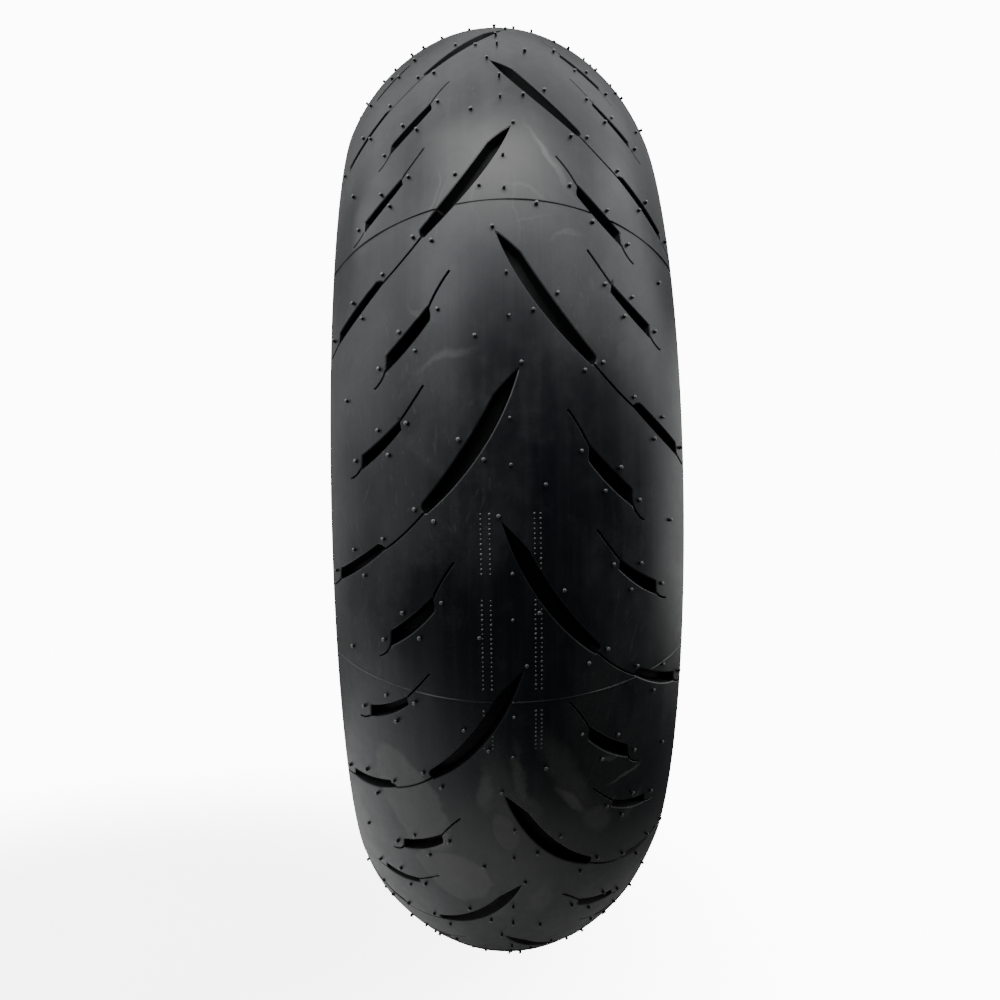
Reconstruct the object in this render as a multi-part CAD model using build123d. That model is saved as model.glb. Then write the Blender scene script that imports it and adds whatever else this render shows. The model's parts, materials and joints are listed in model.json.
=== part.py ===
from build123d import *
import os
from math import sin, cos, radians, degrees, atan2, acos

os.makedirs("parts", exist_ok=True)

# A 180/55 ZR 17 rear sport tyre, in millimetres, in the shape it takes on its rim.
# The wheel centre is the origin, the spin axis is Y, and +Y is called "right".

# ---- main sizes -------------------------------------------------------------------------
OUTER_RADIUS = 315.0          # half of the 630 mm overall diameter
SEAT_RADIUS = 218.3           # 17 inch rim: 436.6 mm across the bead seats
RIM_WIDTH = 139.7             # 5.50 inch between the flanges

# Tread arch: two tangent arcs on each side of the crown, given by radius and end slope.
CROWN_RADIUS = 88.5
CROWN_END = 23.4              # degrees from the radial direction
HAUNCH_RADIUS = 109.0
TREAD_EDGE = 64.3             # slope of the tread surface at its edge, degrees
CASING_EDGE = 60.0            # slope where the casing leaves the arch

# ---- layer thicknesses, from the air chamber outwards --------------------------------------
LINER = 1.0
PLY = 0.8
BREAKER = 0.8
CAP_BELT = 1.0                # the band wound round at zero degrees
BASE = 1.8
CAP = 6.0                     # tread rubber, as deep as the grooves
PLIES_OUT = 2 * PLY
BREAKER_OUT = PLIES_OUT + BREAKER
BELT_OUT = BREAKER_OUT + CAP_BELT
BASE_OUT = BELT_OUT + BASE
TREAD_OUT = BASE_OUT + CAP

BREAKER_EDGE = 57.0           # slopes at which the layers under the tread end, degrees
BELT_EDGE = 54.0
BASE_EDGE = 62.0
COMPOUND_SPLIT = 47.0         # arc length from the centre line to the softer rubber

# ---- bead area ----------------------------------------------------------------------------
WIRE_RADIUS = 0.79
WIRE_PITCH = 1.64             # spacing of the wires in the bundle
ROW_PITCH = WIRE_PITCH * cos(radians(30))
WIRE_ROWS = (4, 5, 4, 3)      # wires in each row, from the rim seat outwards
BUNDLE_RADIUS = 4.7           # bundle with its rubber wrap
BEAD_WRAP = 0.5
SEAT_CUSHION = 1.6            # rubber between the chafer and the rim seat
CHAFER = 0.9
FLANGE_CUSHION = 3.2          # rubber between the turned-up plies and the flange
WRAP = BUNDLE_RADIUS + PLIES_OUT
BEAD = (RIM_WIDTH / 2 - FLANGE_CUSHION - WRAP, SEAT_RADIUS + SEAT_CUSHION + CHAFER + WRAP)
SHOULDER_TURN = 10.0          # casing radius at the shoulder
FLARE = 4.0                   # casing radius where the turn-up leans out over the flange
FLARE_LEAN = 38.0             # tail of the turn-up, degrees above the axial direction
RISER = 2.6                   # straight part of the turn-up
TURN_UP_INNER = 10.0          # length of the turned-up tails past the flare
TURN_UP_OUTER = 6.5
LINER_END = 80.0              # slope on the bead wrap at which the liner meets the chafer
CHAFER_END = -60.0            # slope on the flare at which the chafer stops
APEX_FOOT = 60.0              # slope on the bead wrap at which the apex wedge starts
SEAT_LAND = 12.0              # cylindrical land of the bead seat
HEEL = 5.5
TOE = (50.4, 217.6)
FLANGE_HEIGHT = 12.0          # flat of the bead against the rim flange, above the seat

# ---- sidewall -------------------------------------------------------------------------------
# Outer face from under the tread edge to the rim flange, as (axial, radial).
SIDE_FACE = [(86.3, 247.6), (82.4, 242.5), (77.9, 238.3), (73.4, 234.9)]
CUSHION_TOP = 237.2           # radius at which the sidewall meets the rim cushion
CUSHION_OUT = 73.5            # and the axial place of that joint on the outer face
BELT_EDGE_LAP = 2.0           # how far the belt edge cushion laps the belt, degrees
BELT_EDGE_END = 95.0          # casing slope at which the belt edge cushion has run out

# ---- tread pattern ------------------------------------------------------------------------
PITCHES = 14
PITCH = 360 / PITCHES
PHASE = 61.5                  # where the first left-hand groove has its tip, degrees from +X
SIPE_WIDTH = 1.0
SIPE_DEPTH = 3.0
EDGE_ROUND = 1.5
CUT_ABOVE = 8.0               # cutters start this far above the tread
GROOVE_REACH = 24.0           # and the groove cutters are this tall

# Groove outlines as runs of points (arc length from the centre line, degrees behind the
# tip). A run of two points is a straight side and a run of three is an arc.
MAIN_GROOVE = [
    [(-4.6, -0.2), (7.5, 2.1)],
    [(7.5, 2.1), (24.0, 6.95), (41.8, 10.85)],
    [(41.8, 10.85), (42.4, 11.75), (40.5, 11.95)],
    [(40.5, 11.95), (15.0, 7.15), (-4.6, -0.2)],
]
MIDDLE_GROOVE = [
    [(38.6, 19.2), (50.0, 21.15), (62.4, 22.95)],
    [(62.4, 22.95), (63.2, 24.55)],
    [(63.2, 24.55), (50.5, 22.9), (37.6, 20.5)],
    [(37.6, 20.5), (38.6, 19.2)],
]
OUTER_GROOVE = [
    [(54.6, 3.6), (67.0, 5.15), (79.8, 6.35)],
    [(79.8, 6.35), (80.3, 7.75)],
    [(80.3, 7.75), (67.0, 6.4), (53.8, 4.45)],
    [(53.8, 4.45), (54.6, 3.6)],
]
SHOULDER_GROOVE = [
    [(69.5, 14.85), (86.0, 16.6), (101.0, 18.0)],
    [(101.0, 18.0), (102.4, 19.35)],
    [(102.4, 19.35), (82.0, 17.45), (64.2, 15.2)],
    [(64.2, 15.2), (69.5, 14.85)],
]
SIPES = [
    [(41.5, 11.8), (53.0, 13.75), (65.0, 15.3)],
    [(102.0, 19.2), (106.5, 19.85), (110.5, 20.3)],
    [(27.2, 16.1), (33.5, 17.75), (38.8, 19.6)],
    [(62.9, 24.3), (65.5, 25.2), (70.7, 25.95)],
    [(41.1, 0.7), (48.5, 2.4), (55.0, 3.8)],
    [(80.0, 7.5), (83.0, 8.05), (89.3, 8.55)],
]
# Vent spews of one pitch, in the same coordinates.
SPEWS = [
    (-6.0, -0.7), (0.0, 4.0), (0.0, 8.0), (12.0, 7.5), (24.0, 5.7), (36.5, 12.6), (46.6, 11.6),
    (50.0, 3.9), (67.4, 4.2), (61.0, 6.6), (84.5, 6.8), (65.3, 14.3), (87.2, 15.7),
    (79.4, 18.1), (106.5, 18.5), (15.5, 22.5), (33.5, 19.6), (54.5, 21.0), (45.4, 23.1),
    (66.8, 24.0), (92.0, 26.2),
]
SPEW_RADIUS = 0.6
SPEW_HEIGHT = 2.2
SPEW_ROOT = 1.2


def toward(angle):
    """Unit vector in the section plane, at an angle from the radial direction."""
    return Vector(sin(radians(angle)), cos(radians(angle)))


# ---- the casing line ------------------------------------------------------------------------
# The casing line is the chamber side of the inner ply: a chain of tangent arcs from the crown
# to the turned-up ply ends. Each arc is (centre, radius, first angle, last angle), and the
# point at an angle is centre + radius * toward(angle). Every layer is an offset of this chain.
crown_centre = Vector(0, OUTER_RADIUS - CROWN_RADIUS)
haunch_centre = crown_centre + toward(CROWN_END) * (CROWN_RADIUS - HAUNCH_RADIUS)
turn_start = haunch_centre + toward(CASING_EDGE) * (HAUNCH_RADIUS - TREAD_OUT)
turn_centre = turn_start - toward(CASING_EDGE) * SHOULDER_TURN
bead_centre = Vector(*BEAD)
flare_centre = bead_centre + Vector(WRAP + FLARE, RISER)

# The casing crosses between the shoulder turn and the bead wrap on their common tangent.
span = bead_centre - turn_centre
span_angle = degrees(atan2(span.X, span.Y)) % 360
CROSSING = span_angle - degrees(acos((SHOULDER_TURN + WRAP) / span.length))

crown_arc = (crown_centre, CROWN_RADIUS - TREAD_OUT, 0, CROWN_END)
haunch_arc = (haunch_centre, HAUNCH_RADIUS - TREAD_OUT, CROWN_END, CASING_EDGE)
turn_arc = (turn_centre, SHOULDER_TURN, CASING_EDGE, CROSSING)
wrap_arc = (bead_centre, -WRAP, CROSSING, -90)
flare_arc = (flare_centre, FLARE, -90, -FLARE_LEAN)
CASING = [crown_arc, haunch_arc, turn_arc, wrap_arc, flare_arc]


def ending(arc, last):
    """The same arc, stopped or continued to another angle."""
    return (arc[0], arc[1], arc[2], last)


def starting(arc, first):
    """The same arc, begun at another angle."""
    return (arc[0], arc[1], first, arc[3])


def point_on(arc, offset, angle):
    """Point of an offset arc at an angle."""
    return arc[0] + toward(angle) * (arc[1] + offset)


def offset_run(arcs, offset, tail):
    """Edges along a chain at an offset, with a straight tail after the last arc."""
    edges = []
    here = point_on(arcs[0], offset, arcs[0][2])
    for arc in arcs:
        first = point_on(arc, offset, arc[2])
        if (first - here).length > 1e-6:
            edges.append(Line(here, first))
        here = point_on(arc, offset, arc[3])
        middle = point_on(arc, offset, (arc[2] + arc[3]) / 2)
        edges.append(ThreePointArc(first, middle, here))
    if tail:
        along = toward(arcs[-1][3] + 90)
        edges.append(Line(here, here + along * tail))
        here = here + along * tail
    return edges, here


def band(arcs, inner, outer, tail=0):
    """Section of a layer between two offsets of a chain."""
    low, low_end = offset_run(arcs, inner, tail)
    high, high_end = offset_run(arcs, outer, tail)
    low_start = point_on(arcs[0], inner, arcs[0][2])
    high_start = point_on(arcs[0], outer, arcs[0][2])
    sides = [Line(low_start, high_start), Line(low_end, high_end)]
    return Face(Wire(low + high + sides))


def arch(arcs, inner, outer, tail=0):
    """Section of a layer that runs from bead to bead across the centre line."""
    low, low_end = offset_run(arcs, inner, tail)
    high, high_end = offset_run(arcs, outer, tail)
    half = low + high + [Line(low_end, high_end)]
    return Face(Wire(half + [edge.mirror(Plane.YZ) for edge in half]))


def ring(section):
    """Revolve a section drawn as (axial, radial) about the spin axis."""
    return revolve(Plane.YZ * section, axis=Axis.Y, revolution_arc=360)


def left(section):
    """Mirror image of a right-hand section."""
    return mirror(section, about=Plane.YZ)


# ---- sections of the inner layers ------------------------------------------------------------
liner = arch([crown_arc, haunch_arc, turn_arc, ending(wrap_arc, LINER_END)], -LINER, 0)
ply_inner = arch(CASING, 0, PLY, TURN_UP_INNER)
ply_outer = arch(CASING, PLY, PLIES_OUT, TURN_UP_OUTER)
breaker = arch([crown_arc, ending(haunch_arc, BREAKER_EDGE)], PLIES_OUT, BREAKER_OUT)
cap_belt = arch([crown_arc, ending(haunch_arc, BELT_EDGE)], BREAKER_OUT, BELT_OUT)
base = arch([crown_arc, ending(haunch_arc, BASE_EDGE)], BELT_OUT, BASE_OUT)
chafer = band([starting(wrap_arc, LINER_END), ending(flare_arc, CHAFER_END)], -CHAFER, 0)

# ---- bead core -------------------------------------------------------------------------------
bundle = Pos(*BEAD) * Circle(BUNDLE_RADIUS)
bead_wrap = bundle - Pos(*BEAD) * Circle(BUNDLE_RADIUS - BEAD_WRAP)
wires = Sketch()
for row, count in enumerate(WIRE_ROWS):
    up = ROW_PITCH * (row - (len(WIRE_ROWS) - 1) / 2)
    for number in range(count):
        across = WIRE_PITCH * (number - (count - 1) / 2)
        wires += Pos(*BEAD) * Pos(across, up) * Circle(WIRE_RADIUS)

# ---- tread cap sections ------------------------------------------------------------------------
crown_length = CROWN_RADIUS * radians(CROWN_END)
SPLIT = CROWN_END + degrees((COMPOUND_SPLIT - crown_length) / HAUNCH_RADIUS)
cap_centre = arch([crown_arc, ending(haunch_arc, SPLIT)], BASE_OUT, TREAD_OUT)
shoulder_arc = (haunch_centre, HAUNCH_RADIUS - TREAD_OUT, SPLIT, TREAD_EDGE)
cap_shoulder = band([shoulder_arc], BASE_OUT, TREAD_OUT)
tread_corner = point_on(shoulder_arc, TREAD_OUT, TREAD_EDGE)
corner_vertex = cap_shoulder.vertices().sort_by_distance(tread_corner)[0]
cap_shoulder = fillet(corner_vertex, EDGE_ROUND)

# ---- the whole right-hand section, and what is left between the layers -------------------------
side_top = point_on(shoulder_arc, TREAD_OUT - EDGE_ROUND, TREAD_EDGE)
flange_top = Vector(RIM_WIDTH / 2, SEAT_RADIUS + FLANGE_HEIGHT)
heel_top = Vector(RIM_WIDTH / 2, SEAT_RADIUS + HEEL)
heel_low = Vector(RIM_WIDTH / 2 - HEEL, SEAT_RADIUS)
heel_middle = heel_top - Vector(HEEL, 0) + toward(135) * HEEL
seat_end = heel_low - Vector(SEAT_LAND, 0)
inner_edges, inner_end = offset_run(
    [crown_arc, haunch_arc, turn_arc, ending(wrap_arc, LINER_END)], -LINER, 0
)
outer_edges, outer_end = offset_run(
    [crown_arc, ending(haunch_arc, TREAD_EDGE)], TREAD_OUT, 0
)
inner_start = point_on(crown_arc, -LINER, 0)
outer_start = point_on(crown_arc, TREAD_OUT, 0)
contour = [
    Line(inner_start, outer_start),
    Line(outer_end, side_top),
    Spline(side_top, *SIDE_FACE, flange_top),
    Line(flange_top, heel_top),
    ThreePointArc(heel_top, heel_middle, heel_low),
    Line(heel_low, seat_end),
    Line(seat_end, TOE),
    Line(TOE, inner_end),
]
section = Face(Wire(outer_edges + contour + inner_edges))
layers = [liner, ply_inner, ply_outer, breaker, cap_belt, base, chafer, bundle]
treads = [band([crown_arc, ending(haunch_arc, TREAD_EDGE)], BASE_OUT, TREAD_OUT)]
fill = Sketch() + section - layers - treads

tail_start = point_on(flare_arc, PLY, -FLARE_LEAN)
tail_end = tail_start + toward(90 - FLARE_LEAN) * TURN_UP_OUTER
apex_zone = make_face(
    Polyline(
        point_on(wrap_arc, PLY, APEX_FOOT),
        point_on(wrap_arc, PLY, CROSSING),
        point_on(turn_arc, PLY, CROSSING),
        tail_end,
        tail_start,
        point_on(flare_arc, PLY, CHAFER_END),
        point_on(flare_arc, PLY, -90),
        point_on(wrap_arc, PLY, -90),
        close=True,
    )
)
under_belt = starting(haunch_arc, BELT_EDGE - BELT_EDGE_LAP)
edge_zone = band([under_belt, ending(turn_arc, BELT_EDGE_END)], PLIES_OUT, BELT_OUT)
cushion_zone = Pos(CUSHION_OUT / 2, CUSHION_TOP / 2) * Rectangle(CUSHION_OUT, CUSHION_TOP)
apex = fill & apex_zone
belt_edge = fill & edge_zone
outside = fill - apex_zone - edge_zone
rim_cushion = outside & cushion_zone
sidewall = outside - cushion_zone


# ---- tread pattern -----------------------------------------------------------------------------
def tread_normal(reach):
    """Outward direction of the tread surface at an arc length from the centre line."""
    slope = abs(reach) / CROWN_RADIUS
    if abs(reach) > crown_length:
        slope = radians(CROWN_END) + (abs(reach) - crown_length) / HAUNCH_RADIUS
    return toward(degrees(slope) if reach > 0 else -degrees(slope))


def on_tread(reach, behind):
    """Point of the right-hand tread surface and its outward normal, as 3-D vectors."""
    normal = tread_normal(reach)
    arc_centre, radius = (crown_centre, CROWN_RADIUS)
    if abs(reach) > crown_length:
        arc_centre, radius = (haunch_centre, HAUNCH_RADIUS)
    spot = arc_centre + normal * radius
    turn = radians(PHASE - PITCH / 2 - behind)
    place = Vector(spot.Y * cos(turn), spot.X, spot.Y * sin(turn))
    return place, Vector(normal.Y * cos(turn), normal.X, normal.Y * sin(turn))


def local_frame(first, last):
    """Plane above the tread, square to it half-way between two pattern points."""
    place, normal = on_tread((first[0] + last[0]) / 2, (first[1] + last[1]) / 2)
    return Plane(origin=place + normal * CUT_ABOVE, z_dir=normal)


def flatten(frame, spot):
    """Pattern point seen straight down in a local frame."""
    local = frame.to_local_coords(on_tread(*spot)[0])
    return Vector(local.X, local.Y)


def groove_cutter(outline):
    """Prism for one wide groove, deep enough to go right through the tread cap."""
    corners = [run[0] for run in outline]
    reaches = [corner[0] for corner in corners]
    lags = [corner[1] for corner in corners]
    frame = local_frame((min(reaches), min(lags)), (max(reaches), max(lags)))
    edges = []
    for run in outline:
        flat = [flatten(frame, spot) for spot in run]
        edges.append(Line(*flat) if len(flat) == 2 else ThreePointArc(*flat))
    return extrude(frame * Face(Wire(edges)), amount=GROOVE_REACH, dir=-frame.z_dir)


def sipe_cutter(path):
    """Curved blade for one sipe, given by its two ends and its middle."""
    frame = local_frame(path[0], path[2])
    start, middle, end = [flatten(frame, spot) for spot in path]
    along = [(middle - start), (end - start), (end - middle)]
    across = [Vector(-run.Y, run.X).normalized() * (SIPE_WIDTH / 2) for run in along]
    upper = [start + across[0], middle + across[1], end + across[2]]
    lower = [start - across[0], middle - across[1], end - across[2]]
    edges = [
        ThreePointArc(*upper),
        Line(upper[2], lower[2]),
        ThreePointArc(*lower),
        Line(lower[0], upper[0]),
    ]
    depth = CUT_ABOVE + SIPE_DEPTH
    return extrude(frame * Face(Wire(edges)), amount=depth, dir=-frame.z_dir)


def right_pattern(shape):
    """Copies of a right-hand feature, one for each pitch."""
    return [shape.rotate(Axis.Y, PITCH * number) for number in range(PITCHES)]


def left_pattern(shape):
    """Mirrored copies of a right-hand feature, half a pitch ahead."""
    ahead = mirror(shape, about=Plane.XZ).rotate(Axis.Y, -PITCH / 2)
    return [ahead.rotate(Axis.Y, PITCH * number) for number in range(PITCHES)]


grooves = [
    groove_cutter(outline)
    for outline in (MAIN_GROOVE, MIDDLE_GROOVE, OUTER_GROOVE, SHOULDER_GROOVE)
]
blades = [sipe_cutter(path) for path in SIPES]
right_cutters = []
for cutter in grooves + blades:
    right_cutters += right_pattern(cutter)
left_cutters = []
for cutter in grooves + blades:
    left_cutters += left_pattern(cutter)

# ---- vent spews ----------------------------------------------------------------------------------
hairs = []
for spew in SPEWS:
    root, outward = on_tread(*spew)
    stalk = Plane(origin=root - outward * SPEW_ROOT, z_dir=outward)
    hair = extrude(stalk * Circle(SPEW_RADIUS), amount=SPEW_ROOT + SPEW_HEIGHT)
    hairs += right_pattern(hair) + left_pattern(hair)

# ---- the pieces ------------------------------------------------------------------------------------
whole = {
    "tread_centre": ring(cap_centre) - right_cutters - left_cutters,
    "tread_base": ring(base),
    "jointless_belt": ring(cap_belt),
    "breaker_ply": ring(breaker),
    "carcass_ply_outer": ring(ply_outer),
    "carcass_ply_inner": ring(ply_inner),
    "inner_liner": ring(liner),
    "vent_spews": Compound([hair.solid() for hair in hairs]),
}
paired = {
    "belt_edge_cushion": belt_edge,
    "sidewall": sidewall,
    "rim_cushion": rim_cushion,
    "chafer": chafer,
    "apex": apex,
    "bead_wrap": bead_wrap,
    "bead_wires": wires,
}
for name, shape in whole.items():
    export_step(shape, f"parts/{name}.step")
for name, shape in paired.items():
    export_step(ring(shape), f"parts/{name}_right.step")
    export_step(ring(left(shape)), f"parts/{name}_left.step")
shoulder_right = ring(cap_shoulder) - right_cutters
shoulder_left = ring(left(cap_shoulder)) - left_cutters
export_step(shoulder_right, "parts/tread_shoulder_right.step")
export_step(shoulder_left, "parts/tread_shoulder_left.step")
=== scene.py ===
import json
from math import atan2, cos, pi, radians, sin, tau

import bmesh
import bpy
import numpy as np
from mathutils import Matrix, Vector
from mathutils.geometry import delaunay_2d_cdt


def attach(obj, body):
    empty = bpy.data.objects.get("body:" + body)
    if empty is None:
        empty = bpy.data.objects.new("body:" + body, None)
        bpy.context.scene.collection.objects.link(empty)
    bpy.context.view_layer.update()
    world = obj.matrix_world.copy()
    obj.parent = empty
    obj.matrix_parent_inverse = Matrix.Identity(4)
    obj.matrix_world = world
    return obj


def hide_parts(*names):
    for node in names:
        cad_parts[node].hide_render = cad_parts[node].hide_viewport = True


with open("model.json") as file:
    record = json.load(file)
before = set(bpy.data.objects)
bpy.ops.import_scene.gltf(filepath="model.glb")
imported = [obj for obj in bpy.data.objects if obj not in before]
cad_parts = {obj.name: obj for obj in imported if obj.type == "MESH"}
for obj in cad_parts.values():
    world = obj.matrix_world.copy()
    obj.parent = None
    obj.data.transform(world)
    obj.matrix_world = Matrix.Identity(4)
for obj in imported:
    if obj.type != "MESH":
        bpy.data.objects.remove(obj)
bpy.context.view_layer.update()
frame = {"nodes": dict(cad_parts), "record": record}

# A rear motorcycle tyre on its own: a fine tread, its spews and mould marks, the faces of the
# sides, all materials, and the floor, light and camera.
MM = 0.001
rng = np.random.default_rng(17)

# ---- the tyre's own dimensions, as in the CAD part, in millimetres and degrees -----------------
OUTER_RADIUS = 315.0
CROWN_RADIUS = 88.5
CROWN_END = 23.4
HAUNCH_RADIUS = 109.0
TREAD_EDGE = 64.3
EDGE_ROUND = 1.5
GROOVE_DEPTH = 6.0
SIPE_DEPTH = 3.0
SIPE_WIDTH = 1.0
PITCHES = 14
PITCH = 360 / PITCHES
PHASE = 61.5                  # wheel angle at which the first pitch of the left side begins
ARC_PER_DEGREE = OUTER_RADIUS * pi / 180

# The section is two arcs that meet smoothly, the crown and the flatter haunch outside it.
crown_centre = np.array([0.0, OUTER_RADIUS - CROWN_RADIUS])
meeting = np.array([sin(radians(CROWN_END)), cos(radians(CROWN_END))])
haunch_centre = crown_centre + meeting * (CROWN_RADIUS - HAUNCH_RADIUS)
crown_length = CROWN_RADIUS * radians(CROWN_END)
HALF_TREAD = crown_length + HAUNCH_RADIUS * radians(TREAD_EDGE - CROWN_END)


def tread_section(reach):
    """Axial place, radius and outward slope of the tread at arc lengths from the centre."""
    size = np.abs(reach)
    side = np.sign(reach)
    on_crown = size <= crown_length
    slope = np.where(
        on_crown,
        size / CROWN_RADIUS,
        radians(CROWN_END) + (size - crown_length) / HAUNCH_RADIUS,
    )
    radius = np.where(on_crown, CROWN_RADIUS, HAUNCH_RADIUS)
    axial = np.where(on_crown, crown_centre[0], haunch_centre[0]) + radius * np.sin(slope)
    radial = np.where(on_crown, crown_centre[1], haunch_centre[1]) + radius * np.cos(slope)
    return side * axial, radial, side * slope


def on_tread(reach, angle, lift):
    """Points in metres at arc lengths, wheel angles (degrees) and heights above the tread."""
    axial, radial, slope = tread_section(np.asarray(reach, float))
    axial = axial + np.asarray(lift) * np.sin(slope)
    radial = radial + np.asarray(lift) * np.cos(slope)
    turn = np.radians(angle)
    axial, radial, turn = np.broadcast_arrays(axial, radial, turn)
    return np.stack([radial * np.cos(turn), axial, radial * np.sin(turn)], -1) * MM


WELD = 0.00002                # points closer than this, in metres, become one
SMOOTH_BELOW = 35             # degrees between the faces of turned pieces that still look smooth


def mesh_piece(name, points, faces, material, smooth):
    """A mesh object riding on the tyre, smooth except at edges sharper than an angle."""
    mesh = bpy.data.meshes.new(name)
    mesh.from_pydata([tuple(p) for p in points], [], [tuple(f) for f in faces])
    mesh.validate()
    bm = bmesh.new()
    bm.from_mesh(mesh)
    bmesh.ops.remove_doubles(bm, verts=bm.verts, dist=WELD)
    bmesh.ops.recalc_face_normals(bm, faces=bm.faces)
    bm.to_mesh(mesh)
    bm.free()
    mesh.polygons.foreach_set("use_smooth", [True] * len(mesh.polygons))
    mesh.set_sharp_from_angle(angle=radians(smooth))
    mesh.materials.append(material)
    piece = bpy.data.objects.new(name, mesh)
    bpy.context.scene.collection.objects.link(piece)
    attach(piece, "root")
    return piece


# ---- materials ----------------------------------------------------------------------------------
def link(tree, source, target):
    """Wires an output socket to an input socket."""
    tree.links.new(source, target)


def node(tree, kind, **values):
    """A new shader node with its settings."""
    made = tree.nodes.new(kind)
    for name, value in values.items():
        setattr(made, name, value)
    return made


def own_place(tree):
    """Places in the object's own frame, in metres."""
    return node(tree, "ShaderNodeTexCoord").outputs["Object"]


def cloud(tree, place, scale, detail):
    """A noise node over a place."""
    noise = node(tree, "ShaderNodeTexNoise")
    noise.inputs["Scale"].default_value = scale
    noise.inputs["Detail"].default_value = detail
    link(tree, place, noise.inputs["Vector"])
    return noise


def streak_noise(tree, scale, stretch, detail, rough=0.6):
    """Noise drawn out round the tyre: stretch is how many times denser it is across."""
    mapping = node(tree, "ShaderNodeMapping")
    mapping.inputs["Scale"].default_value = (1.0, stretch, 1.0)
    link(tree, own_place(tree), mapping.inputs["Vector"])
    noise = cloud(tree, mapping.outputs["Vector"], scale, detail)
    noise.inputs["Roughness"].default_value = rough
    return noise.outputs["Fac"]


def ramp(tree, source, low, high, low_value, high_value):
    """Source remapped smoothly from low..high to two values."""
    remap = node(tree, "ShaderNodeMapRange", interpolation_type="SMOOTHSTEP")
    remap.inputs["From Min"].default_value = low
    remap.inputs["From Max"].default_value = high
    remap.inputs["To Min"].default_value = low_value
    remap.inputs["To Max"].default_value = high_value
    link(tree, source, remap.inputs["Value"])
    return remap.outputs["Result"]


def combine(tree, operation, first, second):
    """A maths node over two sockets or numbers."""
    maths = node(tree, "ShaderNodeMath", operation=operation)
    for socket, value in zip(maths.inputs, (first, second)):
        if isinstance(value, (int, float)):
            socket.default_value = value
        else:
            link(tree, value, socket)
    return maths.outputs["Value"]


def scaled(tree, source, amount):
    """A socket times an amount."""
    return combine(tree, "MULTIPLY", source, amount)


def summed(tree, *sockets):
    """The sum of several sockets."""
    total = sockets[0]
    for socket in sockets[1:]:
        total = combine(tree, "ADD", total, socket)
    return total


MIX_COLOURS = (6, 7)          # a mix node's colour inputs, which share their names with others
MIX_RESULT = 2


def blend_colour(tree, factor, first, second):
    """From one colour to another with a factor."""
    mix = node(tree, "ShaderNodeMix", data_type="RGBA")
    link(tree, factor, mix.inputs["Factor"])
    for number, colour in zip(MIX_COLOURS, (first, second)):
        mix.inputs[number].default_value = (*colour, 1.0)
    return mix.outputs[MIX_RESULT]


def pushed(tree, push, amount, place):
    """A place pushed sideways by a push vector times an amount in metres."""
    shift = node(tree, "ShaderNodeVectorMath", operation="MULTIPLY_ADD")
    link(tree, push, shift.inputs[0])
    shift.inputs[1].default_value = (amount, amount, amount)
    link(tree, place, shift.inputs[2])
    return shift.outputs["Vector"]


SCUFF_LEANS = ((0, 35, 20), (25, -20, -30), (0, 5, 60))    # degrees about x, y and z
SCUFF_STRETCH = 50.0          # how many times longer than wide a scuff is
SCUFF_LEVEL = 0.64            # noise above this is a scuff
SCUFF_BEND = 0.05             # metres by which a scuff may wander sideways


def scuffs(tree, lean):
    """Fine dry scuffs, all leaning one way, in scattered areas."""
    place = own_place(tree)
    curved = pushed(tree, cloud(tree, place, 5.0, 1.0).outputs["Color"], SCUFF_BEND, place)
    leaning = node(tree, "ShaderNodeMapping")
    leaning.inputs["Rotation"].default_value = tuple(radians(v) for v in lean)
    link(tree, curved, leaning.inputs["Vector"])
    drawn = node(tree, "ShaderNodeMapping")
    drawn.inputs["Scale"].default_value = (SCUFF_STRETCH, SCUFF_STRETCH, 1.0)
    link(tree, leaning.outputs["Vector"], drawn.inputs["Vector"])
    noise = cloud(tree, drawn.outputs["Vector"], 8.0, 3.0).outputs["Fac"]
    areas = ramp(tree, streak_noise(tree, 9.0, 1.3, 1.0), 0.5, 0.62, 0.0, 1.0)
    lines = ramp(tree, noise, SCUFF_LEVEL, SCUFF_LEVEL + 0.05, 0.0, 1.0)
    return combine(tree, "MULTIPLY", lines, areas)


PATCH_EDGE = 1.06              # share of its half sizes at which a patch has gone


def pale_patch_mask(tree, warped, centre, facing, sizes, soft):
    """An ellipsoid about a place on the tyre: one inside, zero outside, soft over its rim."""
    placed = node(tree, "ShaderNodeMapping", vector_type="TEXTURE")
    placed.inputs["Location"].default_value = centre
    placed.inputs["Rotation"].default_value = facing
    placed.inputs["Scale"].default_value = sizes
    link(tree, warped, placed.inputs["Vector"])
    away = node(tree, "ShaderNodeVectorMath", operation="LENGTH")
    link(tree, placed.outputs["Vector"], away.inputs[0])
    return ramp(tree, away.outputs["Value"], 1.0 - soft, PATCH_EDGE, 1.0, 0.0)


PATCH_WARP = 0.03              # metres from one extreme of a patch's wavy outline to the other
PATCH_DEPTH = 30               # least half depth of a patch in mm, so that it covers the curved tread
PALE_ROUGHENS = 0.25          # how much rougher the palest rubber is than the darkest
SPOT_ROUGHENS = 0.06          # how much fine spots add to the roughness
DUST = 0.05                   # how much fine spots add to the paleness
SPECULAR_TINT = (0.95, 0.985, 1.0, 1.0)
GRAIN_HEIGHT = 0.0003         # metres


def pale_patch_masks(tree, patches_and_reflections):
    """The masks of all pale patches times their strengths, with wavy outlines: smears and bloom, and also
    painted reflections and painted sheen.
    """
    place = own_place(tree)
    evened = node(tree, "ShaderNodeVectorMath", operation="SUBTRACT")
    link(tree, cloud(tree, place, 24.0, 4.0).outputs["Color"], evened.inputs[0])
    evened.inputs[1].default_value = (0.5, 0.5, 0.5)
    warped = pushed(tree, evened.outputs["Vector"], PATCH_WARP, place)
    return [
        scaled(tree, pale_patch_mask(tree, warped, centre, facing, sizes, soft), strength)
        for centre, facing, sizes, strength, soft in patches_and_reflections
    ]


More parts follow.
